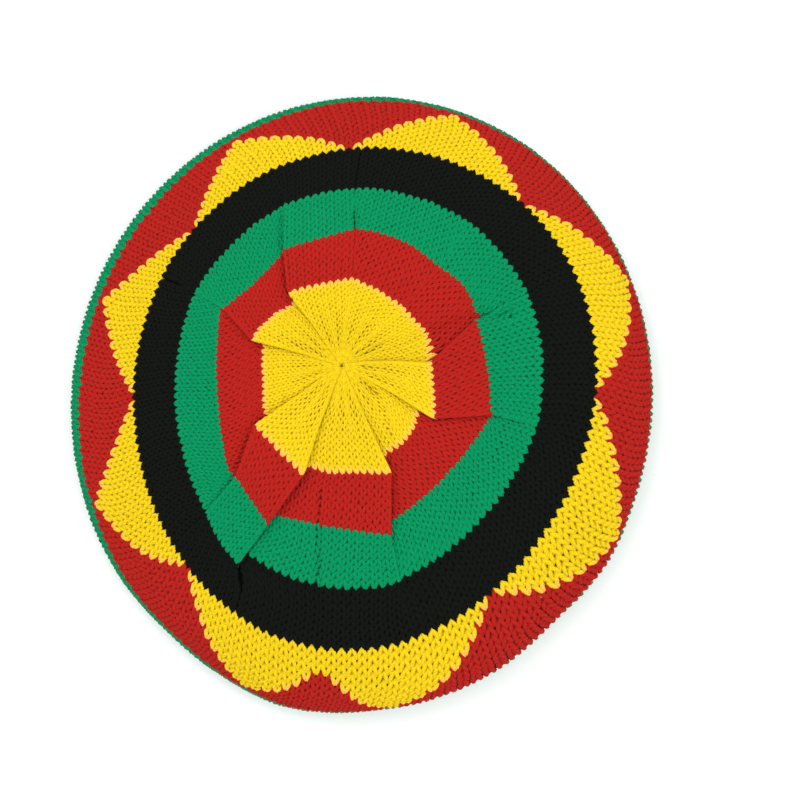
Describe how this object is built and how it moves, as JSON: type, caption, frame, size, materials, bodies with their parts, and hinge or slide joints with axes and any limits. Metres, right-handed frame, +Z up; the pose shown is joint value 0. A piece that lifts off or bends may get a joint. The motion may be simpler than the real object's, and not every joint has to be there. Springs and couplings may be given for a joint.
{
  "type": "knitted tam",
  "caption": "Round knitted tam in striped rings with a gathered crown, a zigzag band, a deep soft rim and a ribbed head band.",
  "frame": {"origin": "under the middle of the outline, on the surface that the head band stands on", "axes": "+Z up out of the crown, +Y towards the top of the picture, +X towards its right"},
  "size_m": [0.2616, 0.2794, 0.0627],
  "materials": {
    "yellow_yarn": "knitted acrylic yarn, soft and matt",
    "red_yarn": "knitted acrylic yarn, soft and matt",
    "green_yarn": "knitted acrylic yarn, soft and matt",
    "black_yarn": "knitted acrylic yarn, soft and matt"
  },
  "bodies": {
    "root": {"crown_centre": "yellow_yarn", "red_round": "red_yarn", "green_round": "green_yarn", "black_round": "black_yarn", "red_points": "red_yarn", "yellow_point_1": "yellow_yarn", "yellow_point_2": "yellow_yarn", "yellow_point_3": "yellow_yarn", "yellow_point_4": "yellow_yarn", "yellow_point_5": "yellow_yarn", "yellow_point_6": "yellow_yarn", "yellow_point_7": "yellow_yarn", "yellow_point_8": "yellow_yarn", "green_side": "green_yarn", "green_under": "green_yarn", "rib_band": "green_yarn"}
  },
  "joints": []
}
